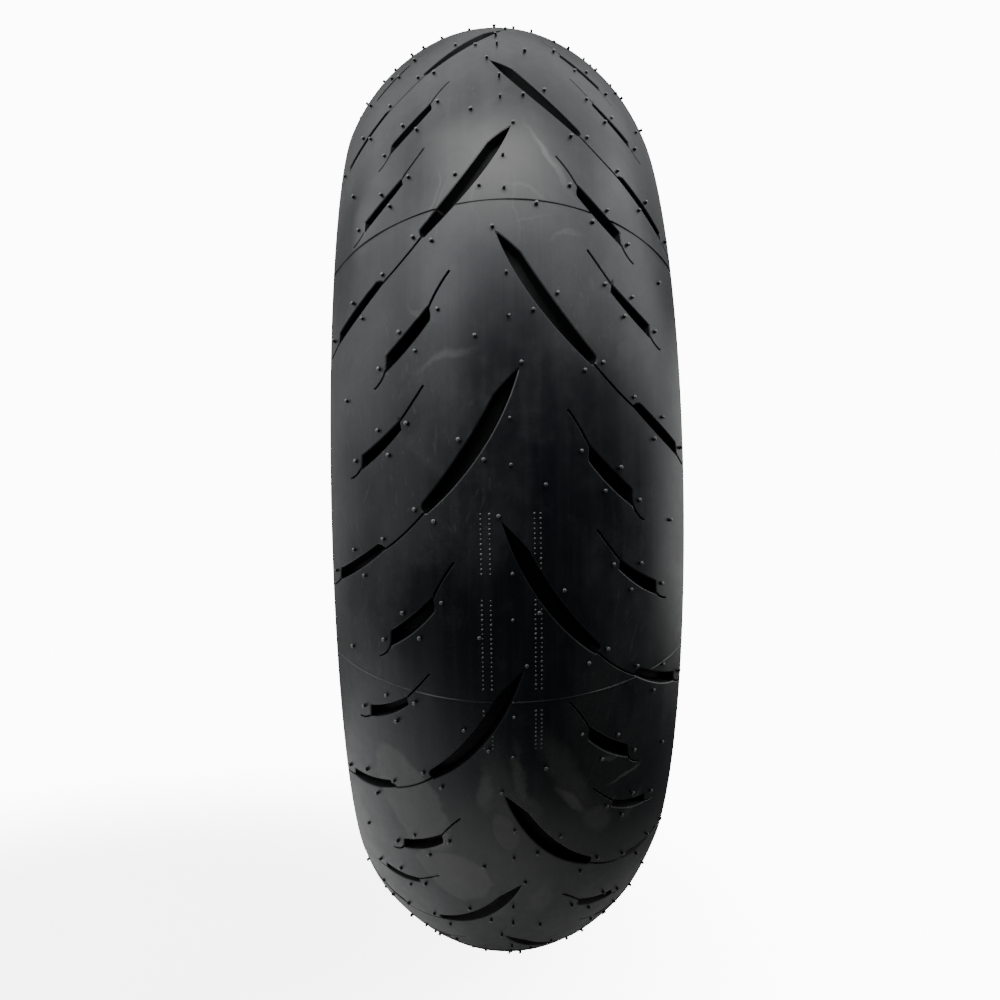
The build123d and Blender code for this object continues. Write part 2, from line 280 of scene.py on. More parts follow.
def mould_grain(tree, streaks):
    """The surface direction over fine grain and faint streaks."""
    fine = streak_noise(tree, 900.0, 1.0, 2.0)
    bump = node(tree, "ShaderNodeBump")
    bump.inputs["Strength"].default_value = 0.25
    bump.inputs["Distance"].default_value = GRAIN_HEIGHT
    link(tree, summed(tree, scaled(tree, fine, 0.25), scaled(tree, streaks, 0.4)), bump.inputs["Height"])
    return bump.outputs["Normal"]


def rubber(name, dark, light, rough, streak=0.03, bloom=0.13, scuff=0.0, patches_and_reflections=(), specular=0.5):
    """Vulcanised rubber: faint streaks round the tyre, smudges of bloom, scuffs, mould grain, and any pale
    patches given, which on the tread include painted reflections and painted sheen.
    """
    material = bpy.data.materials.new(name)
    material.use_nodes = True
    tree = material.node_tree
    shader = tree.nodes["Principled BSDF"]
    smudges = streak_noise(tree, 9.0, 1.4, 5.0)
    streaks = streak_noise(tree, 7.0, 30.0, 4.0)
    spots = streak_noise(tree, 60.0, 1.0, 5.0, 0.7)
    layers = [
        scaled(tree, ramp(tree, smudges, 0.46, 0.66, 0.0, 1.0), bloom),
        scaled(tree, ramp(tree, streaks, 0.42, 0.66, 0.0, 1.0), streak),
        scaled(tree, ramp(tree, spots, 0.52, 0.75, 0.0, 1.0), DUST),
    ]
    if scuff:
        layers += [scaled(tree, scuffs(tree, lean), scuff) for lean in SCUFF_LEANS]
    if patches_and_reflections:
        layers += pale_patch_masks(tree, patches_and_reflections)
    pale = combine(tree, "MINIMUM", summed(tree, *layers), 1.0)
    link(tree, blend_colour(tree, pale, dark, light), shader.inputs["Base Color"])
    spread = scaled(tree, pale, PALE_ROUGHENS)
    wobble = scaled(tree, ramp(tree, spots, 0.3, 0.7, 0.0, 1.0), SPOT_ROUGHENS)
    link(tree, summed(tree, spread, wobble, rough), shader.inputs["Roughness"])
    shader.inputs["Specular IOR Level"].default_value = specular
    shader.inputs["Specular Tint"].default_value = SPECULAR_TINT
    link(tree, mould_grain(tree, streaks), shader.inputs["Normal"])
    return material


def pale_patch(reach, angle, length, width, lean, strength, soft=0.12):
    """
    A pale patch on the tread, used for smears and bloom and also for painted reflections and painted sheen:
    its place, half sizes in mm, lean from the tyre's run in degrees, strength and the share of it that
    fades.
    """
    centre, ahead = on_tread(reach, np.array([angle, angle + 0.5]), 0.0)
    aside = on_tread(reach + 1.0, angle, 0.0)
    run = Vector(ahead - centre).normalized()
    side = Vector(aside - centre).normalized()
    along = run * cos(radians(lean)) + side * sin(radians(lean))
    across = side * cos(radians(lean)) - run * sin(radians(lean))
    facing = Matrix((along, across, along.cross(across))).transposed().to_euler()
    sizes = (length * MM, width * MM, max(length, PATCH_DEPTH) * MM)
    return tuple(float(v) for v in centre), facing, sizes, strength, soft


SMEARS_AND_PAINTED_REFLECTIONS = [
    # pale patches low on the left of the front, which are painted reflections of the floor, and smears low
    # in the middle and on the right
    pale_patch(-58, -31.5, 33, 19, -30, 0.42),
    pale_patch(-33, -41, 24, 16, -12, 0.34),
    pale_patch(-84, -38, 34, 12, -10, 0.10, 0.6),
    pale_patch(-5, -33, 11, 7, -20, 0.26, 0.2),
    pale_patch(0, -37, 62, 62, 0, 0.44, 0.95),
    pale_patch(-14, -28, 20, 6, 0, 0.36, 0.7),
    pale_patch(5, -26, 26, 4, -8, 0.36, 0.7),
    pale_patch(26, -29.5, 16, 4, -25, 0.55, 0.6),
    pale_patch(41, -34, 17, 8, -32, 0.26, 0.5),
    pale_patch(17, -44, 20, 10, 0, 0.24, 0.5),
    pale_patch(-8, -45, 26, 5, 8, 0.20, 0.6),
    pale_patch(60, -29, 1.6, 12, 0, 0.5, 0.6),
    pale_patch(52, -26, 1.2, 8, 20, 0.26, 0.6),
    pale_patch(70, -34, 14, 5, 40, 0.22, 0.7),
    pale_patch(-4, -28, 40, 14, -12, 0.26, 0.8),
    pale_patch(26, -26, 34, 9, -22, 0.26, 0.7),
    # the silvery area high on the front, partly bloom and partly a painted sheen from the light above, the
    # pale left shoulder, and strokes across them
    pale_patch(-3, 31, 60, 48, -6, 0.80, 0.95),
    pale_patch(-80, 29, 26, 13, 10, 0.26, 0.8),
    pale_patch(-62, 18, 36, 22, 8, 0.09, 0.8),
    pale_patch(29, 31, 30, 4.0, -32, 0.30, 0.95),
    pale_patch(22, 33, 34, 2.4, -26, 0.30, 0.95),
    pale_patch(-35, 28, 26, 1.4, 2, 0.20, 0.95),
    pale_patch(-31, 27, 22, 1.0, 8, 0.18, 0.95),
    pale_patch(-12, 30, 34, 1.4, 6, 0.20, 0.95),
    pale_patch(3, 25, 30, 1.1, 3, 0.14, 0.95),
    pale_patch(12, 27, 22, 1.8, -64, 0.20, 0.95),
    pale_patch(10, 24, 16, 1.4, 75, 0.16, 0.95),
    pale_patch(29, 22.6, 14, 1.8, 62, 0.26, 0.95),
    # faint smears near the middle of the front and on its right edge
    pale_patch(-32, 12.4, 21, 3.0, 78, 0.28, 0.95),
    pale_patch(-40, 16, 12, 2.0, -40, 0.20, 0.95),
    pale_patch(-37, 15.5, 9, 8, 0, 0.05, 0.9),
    pale_patch(14, 8.2, 9, 7.5, 0, 0.018),
    pale_patch(-42, 3.5, 18, 6, -48, 0.05, 0.8),
    pale_patch(58, 12, 12, 6, 30, 0.06, 0.4),
    pale_patch(52, 18, 46, 14, 18, 0.07, 0.3),
    pale_patch(62, 14, 16, 7, 24, 0.06, 0.3),
    pale_patch(96, -22, 40, 12, 0, 0.05, 0.7),
    # a few large patches over the top, round the back and underneath
    pale_patch(-20, 46, 60, 26, 12, 0.06),
    pale_patch(62, 48, 50, 20, -10, 0.08, 0.5),
    pale_patch(30, 100, 55, 22, 25, 0.15, 0.5),
    pale_patch(-55, 140, 48, 18, -15, 0.2),
    pale_patch(10, 190, 60, 24, 10, 0.1, 0.7),
    pale_patch(60, 235, 44, 18, 30, 0.2),
    pale_patch(-40, 275, 50, 20, -20, 0.12, 0.5),
]
BLACK = (0.0026, 0.0043, 0.0076)
GREY = (0.2, 0.2, 0.195)
tread_look = rubber("tread_rubber", BLACK, GREY, 0.34, scuff=0.08, patches_and_reflections=SMEARS_AND_PAINTED_REFLECTIONS)
# Darker, less glossy rubber for the groove walls and floors and the spews' stalks: painted shade in the
# recesses and on the stalks' sides.
groove_shade_look = rubber(
    "groove_shaded_rubber", (0.002, 0.0022, 0.0026), (0.008, 0.008, 0.008), 0.55, specular=0.25
)
# Much paler, glossier rubber for the spews' cut tips and the tread dots: painted highlights on their small
# domes.
tip_highlight_look = rubber(
    "spew_tip_highlight_rubber", (0.11, 0.112, 0.114), (0.24, 0.24, 0.24), 0.2, bloom=0.5, specular=0.8
)
side_look = rubber("side_rubber", (0.006, 0.0068, 0.008), GREY, 0.4, scuff=0.08)
inner_look = rubber("liner_rubber", (0.006, 0.006, 0.0065), GREY, 0.35)

# ---- tread pattern, laid out on the unrolled tread ------------------------------------------------
# Outlines as in the CAD part, in runs of points: (arc length from the centre line in millimetres,
# degrees behind the phase). A run of two points is straight, one of three is an arc.
GROOVES = [
    [
        [(-4.6, -0.2), (1.3, 0.85), (7.5, 2.1)],
        [(7.5, 2.1), (24.0, 6.95), (41.8, 10.85)],
        [(41.8, 10.85), (42.4, 11.75), (40.5, 11.95)],
        [(40.5, 11.95), (15.0, 7.15), (-4.6, -0.2)],
    ],
    [
        [(38.6, 19.2), (50.0, 21.15), (62.4, 22.95)],
        [(62.4, 22.95), (63.2, 24.55)],
        [(63.2, 24.55), (50.5, 22.9), (37.6, 20.5)],
        [(37.6, 20.5), (37.5, 19.8), (38.6, 19.2)],
    ],
    [
        [(54.6, 3.6), (67.0, 5.15), (79.8, 6.35)],
        [(79.8, 6.35), (80.3, 7.75)],
        [(80.3, 7.75), (67.0, 6.4), (53.8, 4.45)],
        [(53.8, 4.45), (54.6, 3.6)],
    ],
    [
        [(69.5, 14.85), (86.0, 16.6), (101.0, 18.0)],
        [(101.0, 18.0), (102.4, 19.35)],
        [(102.4, 19.35), (82.0, 17.45), (64.2, 15.2)],
        [(64.2, 15.2), (66.5, 14.95), (69.5, 14.85)],
    ],
]
SIPES = [
    [(41.5, 11.8), (53.0, 13.75), (65.0, 15.3)],
    [(102.0, 19.2), (106.5, 19.85), (110.5, 20.3)],
    [(27.2, 16.1), (33.5, 17.75), (38.8, 19.6)],
    [(62.9, 24.3), (65.5, 25.2), (70.7, 25.95)],
    [(41.1, 0.7), (48.5, 2.4), (55.0, 3.8)],
    [(80.0, 7.5), (83.0, 8.05), (89.3, 8.55)],
]
# One pitch's spews, one by one, as in the CAD part.
SPEWS = [
    (-6.0, -0.7), (0.0, 4.0), (0.0, 8.0), (12.0, 7.5), (24.0, 5.7), (36.5, 12.6), (46.6, 11.6),
    (50.0, 3.9), (67.4, 4.2), (61.0, 6.6), (84.5, 6.8), (65.3, 14.3), (87.2, 15.7),
    (79.4, 18.1), (106.5, 18.5), (15.5, 22.5), (33.5, 19.6), (54.5, 21.0), (45.4, 23.1),
    (66.8, 24.0), (92.0, 26.2),
]
PERIOD = PITCH * ARC_PER_DEGREE
CONTOUR_STEP = 1.3            # between the vertices of an outline
FIELD_STEP = 4.0              # between the rows of vertices on plain land
EDGE_COLUMNS = 35             # vertices along one pitch of the tread's outer edge
FLAT_HALF = HALF_TREAD - EDGE_ROUND
TILE_START = -9.0             # where the repeated tile begins, as an arc behind the phase
TILE_MARGIN = 12.0            # outlines this far outside the tile still count


def through(run):
    """Points along a straight or three-point arc run, about a contour step apart."""
    first, last = np.array(run[0], float), np.array(run[-1], float)
    if len(run) == 2:
        count = max(2, int(np.linalg.norm(last - first) / CONTOUR_STEP) + 1)
        share = np.linspace(0, 1, count)[:-1, None]
        return first + (last - first) * share
    middle = np.array(run[1], float)
    a, b = middle - first, last - first
    cross = 2 * (a[0] * b[1] - a[1] * b[0])
    centre = first + np.array([
        b[1] * (a @ a) - a[1] * (b @ b),
        a[0] * (b @ b) - b[0] * (a @ a),
    ]) / cross
    start, half, stop = [atan2(*(p - centre)[::-1]) for p in (first, middle, last)]
    turn = (stop - start) % tau
    if (half - start) % tau > turn:
        turn -= tau
    radius = np.linalg.norm(first - centre)
    count = max(3, int(abs(turn) * radius / CONTOUR_STEP) + 1)
    angles = start + turn * np.linspace(0, 1, count)[:-1]
    return centre + radius * np.stack([np.cos(angles), np.sin(angles)], -1)


def unrolled(spot):
    """A point with its degrees behind turned into an arc length."""
    return (spot[0], spot[1] * ARC_PER_DEGREE)


def groove_outline(runs):
    """The closed outline made by a groove's runs."""
    return np.concatenate([through([unrolled(spot) for spot in run]) for run in runs])


def sipe_outline(path):
    """Outline of a curved slit of constant width."""
    line = through([unrolled(spot) for spot in path])
    line = np.vstack([line, unrolled(path[-1])])
    along = np.gradient(line, axis=0)
    along /= np.linalg.norm(along, axis=1, keepdims=True)
    across = np.stack([-along[:, 1], along[:, 0]], -1) * SIPE_WIDTH / 2
    return np.vstack([line + across, (line - across)[::-1]])


def signed_distance(points, outline):
    """Distance from each point to a closed outline, positive inside."""
    start, stop = outline, np.roll(outline, -1, 0)
    edge = stop - start
    gap = points[:, None] - start[None]
    share = np.clip((gap * edge).sum(-1) / np.maximum((edge * edge).sum(-1), 1e-9), 0, 1)
    away = np.linalg.norm(gap - share[..., None] * edge, axis=-1).min(1)
    above = (start[:, 1] > points[:, None, 1]) != (stop[:, 1] > points[:, None, 1])
    rise = np.where(np.abs(edge[:, 1]) < 1e-9, 1e-9, edge[:, 1])
    crossing = start[:, 0] + (points[:, None, 1] - start[:, 1]) * edge[:, 0] / rise
    inside = (above & (points[:, None, 0] < crossing)).sum(1) % 2 == 1
    return np.where(inside, away, -away)


KEPT_SHARE = 0.9              # of the distance that a moved point must still be away


def moved_in(outline, distance):
    """Outline moved inwards (or outwards, if negative), without the points that collapse."""
    along = np.roll(outline, -1, 0) - np.roll(outline, 1, 0)
    along /= np.linalg.norm(along, axis=1, keepdims=True)
    area = (outline[:, 0] * np.roll(outline[:, 1], -1)
            - outline[:, 1] * np.roll(outline[:, 0], -1)).sum()
    inward = np.stack([-along[:, 1], along[:, 0]], -1) * (1 if area > 0 else -1)
    moved = outline + inward * distance
    kept = np.abs(signed_distance(moved, outline)) > KEPT_SHARE * abs(distance) - 1e-6
    return moved[kept]


# Depth below the tread against distance inside the outline: chamfered lip, steep wall, floor.
GROOVE_PROFILE = ([-0.55, 0.0, 0.15, 0.6, 1.0, 1.7], [0, 0.36, 1.3, 5.1, 5.8, GROOVE_DEPTH])
SIPE_PROFILE = ([-0.25, 0.0, 0.5], [0, 0.16, SIPE_DEPTH])
# Distances inside the outline at which the mesh gets a line of vertices.
GROOVE_CONTOURS = (-0.55, 0.0, 0.55, 1.4)
SIPE_CONTOURS = (-0.25, 0.0, 0.4)


def tile_cuts():
    """Outline, profile and contours of every groove and sipe that touches the tile."""
    cuts = [(groove_outline(runs), GROOVE_PROFILE, GROOVE_CONTOURS) for runs in GROOVES]
    cuts += [(sipe_outline(path), SIPE_PROFILE, SIPE_CONTOURS) for path in SIPES]
    low, high = TILE_START - TILE_MARGIN, TILE_START + PERIOD + TILE_MARGIN
    found = []
    for side in (-1, 1):
        shift = PERIOD / 2 if side > 0 else 0.0
        for outline, profile, contours in cuts:
            placed = outline * [side, 1] + [0, shift]
            for turn in (-2, -1, 0, 1):
                copy = placed + [0, turn * PERIOD]
                if copy[:, 1].max() > low and copy[:, 1].min() < high:
                    found.append((copy, profile, contours))
    return found


shapes = tile_cuts()


def tread_depth(points):
    """Depth of the pattern at unrolled points inside one tile, in millimetres."""
    depth = np.zeros(len(points))
    for outline, (distance, below), _ in shapes:
        low, high = outline.min(0) - 1, outline.max(0) + 1
        near = ((points > low) & (points < high)).all(1)
        if near.any():
            found = np.interp(signed_distance(points[near], outline), distance, below)
            depth[near] = np.maximum(depth[near], found)
    return depth


def pattern_tile():
    """Triangles of one pitch of the whole tread width: (arc length, arc behind), faces."""
    points, edges = [], []

    def chain(line, closed):
        first = len(points)
        points.extend(line.tolist())
        edges.extend((first + i, first + i + 1) for i in range(len(line) - 1))
        if closed:
            edges.append((first + len(line) - 1, first))

    for outline, _, contours in shapes:
        for distance in contours:
            line = moved_in(outline, distance)
            if len(line) > 3:
                chain(line, True)
    columns = np.linspace(TILE_START, TILE_START + PERIOD, EDGE_COLUMNS + 1)
    rows = np.linspace(-FLAT_HALF, FLAT_HALF, int(2 * FLAT_HALF / FIELD_STEP) + 1)
    for end in (-FLAT_HALF, FLAT_HALF):
        chain(np.stack([np.full(len(columns), end), columns], -1), False)
    for end in (TILE_START, TILE_START + PERIOD):
        chain(np.stack([rows, np.full(len(rows), end)], -1), False)
    field = []
    for number, row in enumerate(rows[1:-1]):
        offset = 0.5 if number % 2 else 1.0
        steps = columns[:-1] + (columns[1] - columns[0]) * offset
        field.append(np.stack([np.full(len(steps), row), steps], -1))
    field = np.concatenate(field)
    inside = (field[:, 1] > TILE_START + 1) & (field[:, 1] < TILE_START + PERIOD - 1)
    for outline, _, contours in shapes:
        away = signed_distance(field, outline)
        inside &= (away < contours[0] - CONTOUR_STEP) | (away > contours[-1] + CONTOUR_STEP)
    points.extend(field[inside].tolist())
    flat, _, faces, *_ = delaunay_2d_cdt([Vector(p) for p in points], edges, [], 0, 1e-5)
    flat = np.array([tuple(p) for p in flat])
    faces = np.array([f for f in faces if len(f) == 3])
    middle = flat[faces].mean(1)
    keep = (middle[:, 1] > TILE_START) & (middle[:, 1] < TILE_START + PERIOD)
    keep &= np.abs(middle[:, 0]) < FLAT_HALF
    faces = faces[keep]
    used = np.unique(faces)
    lookup = np.zeros(len(flat), int)
    lookup[used] = np.arange(len(used))
    return flat[used], lookup[faces][:, ::-1]


def wheel_angle(behind):
    """Wheel angle in degrees of an arc behind the phase."""
    return PHASE - behind / ARC_PER_DEGREE


flat, tile_faces = pattern_tile()
depth = tread_depth(flat)
tread_points, tread_faces = [], []
for number in range(PITCHES):
    tread_faces.append(tile_faces + number * len(flat))
    tread_points.append(on_tread(flat[:, 0], wheel_angle(flat[:, 1] + number * PERIOD), -depth))

# The rounded outer edges of the tread, and a skirt inside the sidewalls.
SKIRT = 3.0
slope = radians(TREAD_EDGE)
outward = np.array([sin(slope), cos(slope)])
down = np.array([cos(slope), -sin(slope)])
corner = np.array(tread_section(np.array([HALF_TREAD]))[:2])[:, 0]
bend = corner - (outward + down) * EDGE_ROUND
rounding = np.radians([0, 22, 45, 68, 90])
rim = [bend + EDGE_ROUND * (outward * cos(a) + down * sin(a)) for a in rounding]
rim.append(rim[-1] - outward * SKIRT)
around = wheel_angle(TILE_START + np.arange(EDGE_COLUMNS * PITCHES) * PERIOD / EDGE_COLUMNS)


def lathe_rows(profile, angles, side=1):
    """Points of a profile of (axial, radial) millimetres turned to each angle."""
    profile = np.asarray(profile, float)
    turn = np.radians(angles)[None, :, None]
    axial = np.broadcast_to(profile[:, None, :1] * side, (len(profile), len(angles), 1))
    radial = profile[:, None, 1:]
    return np.concatenate([radial * np.cos(turn), axial, radial * np.sin(turn)], -1) * MM


def grid_faces(rows, columns, first=0, flip=False, close_rows=False):
    """Quads of a grid whose columns join up all the way round."""
    found = []
    for row in range(rows if close_rows else rows - 1):
        below = (row + 1) % rows
        for column in range(columns):
            after = (column + 1) % columns
            quad = (row * columns + column, row * columns + after,
                    below * columns + after, below * columns + column)
            found.append(tuple(first + i for i in (quad[::-1] if flip else quad)))
    return found


points = np.concatenate(tread_points)
faces = [tuple(face) for face in np.concatenate(tread_faces).tolist()]
for side in (-1, 1):
    skirt = lathe_rows(rim, around, side).reshape(-1, 3)
    faces += grid_faces(len(rim), len(around), len(points), flip=side < 0)
    points = np.concatenate([points, skirt])


def over_tread(points):
    """Height in millimetres above the tread surface, and its outward direction, at points."""
    across = np.hypot(points[:, 0], points[:, 2])
    place = np.stack([np.abs(points[:, 1]), across], -1) / MM
    slope = np.arctan2(place[:, 0], place[:, 1] - crown_centre[1])
    on_crown = (slope <= radians(CROWN_END))[:, None]
    gap = place - np.where(on_crown, crown_centre, haunch_centre)
    reach = np.linalg.norm(gap, axis=1, keepdims=True)
    lift = (reach - np.where(on_crown, CROWN_RADIUS, HAUNCH_RADIUS))[:, 0]
    sideways, outward = (gap / reach).T
    normal = np.stack([
        outward * points[:, 0] / across,
        sideways * np.sign(points[:, 1]),
        outward * points[:, 2] / across,
    ], -1)
    return lift, normal


LAND_WITHIN = 0.03            # millimetres from the tread surface that still count as land
GROOVE_BELOW = -0.2           # millimetres, under which a face gets the grooves' darker rubber, which is painted shade
EDGE_FROM = 0.0885            # metres from the middle, past which faces keep the tread's finish


def finish_tread(mesh):
    """Gives the land the true surface normals and paints the grooves darker and duller, as painted shade.
    """
    points = np.empty(len(mesh.vertices) * 3, np.float32)
    mesh.vertices.foreach_get("co", points)
    lift, normal = over_tread(points.reshape(-1, 3))
    normals = np.zeros((len(mesh.loops), 3))
    mesh.materials.append(groove_shade_look)
    for face in mesh.polygons:
        corners = list(face.vertices)
        heights = lift[corners]
        if np.abs(heights).max() < LAND_WITHIN:
            normals[face.loop_start:face.loop_start + face.loop_total] = normal[corners]
        elif heights.max() < GROOVE_BELOW and abs(face.center.y) < EDGE_FROM:
            face.material_index = 1
    mesh.normals_split_custom_set([tuple(n) for n in normals])


tread = mesh_piece("tread_pattern", points, faces, tread_look, smooth=30)
finish_tread(tread.data)
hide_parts("tread_centre", "tread_shoulder_left", "tread_shoulder_right")


# ---- vent spews ----------------------------------------------------------------------------------
SPEW_SIDES = 8
# Rings of a stub and of its tip: (height in millimetres, share of the stub's radius).
STALK = [(-0.5, 1.2), (0.0, 1.0), (0.3, 0.8)]
STALK_END = 0.86
TIP = [(0.0, 1.0), (0.18, 0.92), (0.38, 0.66), (0.48, 0.3)]
# Least and greatest length and radius: longer, thinner stubs stand on the centre line.
SIDE_SPEW = ((0.8, 1.5), (0.92, 1.12))
CENTRE_SPEW = ((1.3, 2.0), (0.7, 0.85))
SPEW_LEAN = 0.14              # spread of the sideways lean for each millimetre of height


def spew(reach, angle):
    """Rings of a short leaning stub of rubber and of its rounded, cut tip."""
    axial, radial, slope = [float(v[0]) for v in tread_section(np.array([reach]))]
    turn = radians(angle)
    normal = Vector((cos(slope) * cos(turn), sin(slope), cos(slope) * sin(turn)))
    across = Vector((-sin(slope) * cos(turn), cos(slope), -sin(slope) * sin(turn)))
    root = Vector((radial * cos(turn), axial, radial * sin(turn)))
    round_tyre = normal.cross(across)
    lean = across * rng.normal(0, SPEW_LEAN) + round_tyre * rng.normal(0, SPEW_LEAN)
    lengths, radii = SIDE_SPEW if reach else CENTRE_SPEW
    length = rng.uniform(*lengths)
    width = rng.uniform(*radii)
    stub = [*STALK, (length, STALK_END)]
    domed = [(length + rise, share) for rise, share in TIP]

    def turned_rings(levels):
        found = []
        for height, share in levels:
            centre = root + normal * height + lean * max(height, 0)
            for step in range(SPEW_SIDES):
                a = tau * step / SPEW_SIDES
                found.append((centre + (across * cos(a) + round_tyre * sin(a)) * width * share) * MM)
        return found

    return turned_rings(stub), turned_rings(domed)


stalk_points, stalk_faces, tip_points, tip_faces = [], [], [], []
for side in (-1, 1):
    lag = PITCH / 2 if side > 0 else 0.0
    for number in range(PITCHES):
        for reach, behind in SPEWS:
            stalk, domed = spew(side * reach, PHASE - lag - behind - number * PITCH)
            stalk_faces += grid_faces(len(STALK) + 1, SPEW_SIDES, len(stalk_points))
            tip_faces += grid_faces(len(TIP), SPEW_SIDES, len(tip_points))
            stalk_points += stalk
            tip_points += domed
            tip_faces.append(tuple(range(len(tip_points) - SPEW_SIDES, len(tip_points))))
# The stalks get the dark groove rubber, which is painted shade on the spews' sides.
hairs = mesh_piece("vent_spew_stalks", stalk_points, stalk_faces, groove_shade_look, smooth=50)
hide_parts("vent_spews")
tips = mesh_piece("vent_spew_tips", tip_points, tip_faces, tip_highlight_look, smooth=60)

# ---- flash lines left by the mould ------------------------------------------------------------------
SEGMENTS = 8
SEGMENT_PHASE = 26.6          # wheel angle of the first line
FLASH_STEP = 0.6
FLASH_HEIGHTS = (0.5, 0.27)   # of every other line
FLASH_BASE = 0.3              # half width of a line with no height
FLASH_UNEVEN = 0.25           # share by which the height swells and sinks along the line
WANDER = 0.03                 # spread of the line's random steps sideways
WANDER_WINDOW = 15            # points over which the wandering is evened out
WANDER_KEPT = 0.4             # share of the wandering that is used
RIDGE_SINK = -0.08            # height of a ridge's feet, just under the surface


def depth_anywhere(reach, angle):
    """Pattern depth at any place on the tread."""
    behind = (PHASE - np.asarray(angle)) * ARC_PER_DEGREE
    folded = (behind - TILE_START) % PERIOD + TILE_START
    return tread_depth(np.stack([np.broadcast_to(reach, folded.shape), folded], -1))


def ridge(reach, angle, half_width, height):
    """Rows of three points over a low ridge across the tread, which dips into the grooves."""
    points = []
    for share, lift in ((-1, RIDGE_SINK), (0, height), (1, RIDGE_SINK)):
        placed = angle + share * half_width / ARC_PER_DEGREE
        points.append(on_tread(reach, placed, lift - depth_anywhere(reach, placed)))
    return np.stack(points, 1).reshape(-1, 3)


def ridge_faces(rows, base):
    """Quads over rows of three points: a foot, the crest and the other foot."""
    found = []
    for row in range(rows - 1):
        for column in (0, 1):
            first = base + row * 3 + column
            found.append((first, first + 1, first + 4, first + 3))
    return found


points, faces = [], []
reach = np.arange(-FLAT_HALF + 1, FLAT_HALF - 1, FLASH_STEP)
for number in range(SEGMENTS):
    wander = np.cumsum(rng.normal(0, WANDER, len(reach)))
    wander = np.convolve(wander, np.ones(WANDER_WINDOW) / WANDER_WINDOW, "same") * WANDER_KEPT
    angle = SEGMENT_PHASE - number * 360 / SEGMENTS + wander / ARC_PER_DEGREE
    tall = FLASH_HEIGHTS[number % 2]
    height = tall * (1 + FLASH_UNEVEN * np.sin(reach / 7 + number))
    faces += ridge_faces(len(reach), len(points))
    points += ridge(reach, angle, FLASH_BASE + tall / 2, height).tolist()
flash = mesh_piece("mould_flash_lines", points, faces, tread_look, smooth=60)

# ---- plain rows of raised dots either side of the centre line ------------------------------------------
# Runs are in wheel angles, columns in arc lengths from the centre line.
DOT_RUNS = [(-1.9, -7.1), (-9.2, -17.3), (-19.3, -23.2)]
DOT_COLUMNS = (-14.3, -10.2, 10.4, 13.2)
DOT_SPACING = 0.42
DOT_SIDES = 8
DOT_RINGS = ((0.62, -0.05), (0.5, 0.2), (0.22, 0.34))     # radius and height
DOT_SHARES = (0.6, 1.05)      # of the full size, drawn for each dot


def dot(reach, angle):
    """A small flat-topped dome on the tread."""
    share = rng.uniform(*DOT_SHARES)
    points = []
    for radius, height in DOT_RINGS:
        for step in range(DOT_SIDES):
            a = tau * step / DOT_SIDES
            across, along = radius * share * cos(a), radius * share * sin(a)
            points.append((reach + across, angle + along / ARC_PER_DEGREE, height * share))
    points = np.array(points)
    return on_tread(points[:, 0], points[:, 1], points[:, 2]).tolist()


points, faces = [], []
for first, last in DOT_RUNS:
    for angle in np.arange(first, last, -DOT_SPACING):
        for reach in DOT_COLUMNS:
            if depth_anywhere(np.array([reach]), np.array([angle]))[0] > 0.01:
                continue
            base = len(points)
            points += dot(reach, angle)
            faces += grid_faces(len(DOT_RINGS), DOT_SIDES, base)
            faces.append(tuple(range(len(points) - DOT_SIDES, len(points))))
# The dots get the pale tip rubber, which is a painted highlight on each dome.
dots = mesh_piece("tread_dots", points, faces, tip_highlight_look, smooth=60)

# ---- sidewalls and rim cushions, turned from their sections ----------------------------------------
TURN_STEPS = 288
SEAT_RADIUS = 218.3
RIM_HALF = 69.85
HEEL = 5.5
BEAD_CENTRE = (59.95, 227.1)
BEAD_RADIUS = 7.15
circle = np.arange(TURN_STEPS) * 360 / TURN_STEPS


def turned(name, profile, side):
    """A ring of side rubber with a closed section, given for the right-hand side."""
    points = lathe_rows(profile, circle, side).reshape(-1, 3)
    faces = grid_faces(len(profile), TURN_STEPS, flip=side < 0, close_rows=True)
    return mesh_piece(name, points, faces, side_look, smooth=SMOOTH_BELOW)


def smooth_curve(controls, count):
    """Evenly spread points of a Catmull-Rom curve through the controls."""
    p = np.array([controls[0], *controls, controls[-1]], float)
    found = []
    for a, b, c, d in zip(p[:-3], p[1:-2], p[2:-1], p[3:]):
        for t in np.linspace(0, 1, count, endpoint=False):
            found.append(0.5 * (2 * b + (c - a) * t + (2 * a - 5 * b + 4 * c - d) * t**2
                                + (3 * b - a - 3 * c + d) * t**3))
    found.append(p[-1])
    return np.array(found)


side_top = bend + EDGE_ROUND * down
SIDE_LINE = [tuple(side_top), (86.3, 247.6), (82.4, 242.5), (77.9, 238.3), (73.4, 234.9)]
side_curve = smooth_curve(SIDE_LINE, 14)
step = np.gradient(side_curve, axis=0)
step /= np.linalg.norm(step, axis=1, keepdims=True)
side_normal = np.stack([-step[:, 1], step[:, 0]], -1)
travel = np.concatenate([[0], np.cumsum(np.linalg.norm(np.diff(side_curve, axis=0), axis=1))])

# Raised rings on the sidewall: (distance from the tread edge, half width, height).
SIDE_RINGS = [(3.0, 0.7, 0.5), (6.2, 0.4, 0.4), (16.0, 0.4, 0.4), (19.0, 0.4, 0.3), (23.0, 0.9, 0.8)]
lift = np.zeros(len(side_curve))
for place, half, height in SIDE_RINGS:
    lift = np.maximum(lift, height * np.clip(1.5 - np.abs(travel - place) / half, 0, 1))
side_face = side_curve + side_normal * lift[:, None]
# The hidden inner side of the piece.
side_back = [(72.9, 237.8), (76.4, 241.3), (79.5, 247.5), (80.5, 252.0), (83.2, 254.6)]
for side, label in ((-1, "left"), (1, "right")):
    wall = turned(f"sidewall_face_{label}", [*side_face, *side_back], side)
    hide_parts(f"sidewall_{label}")

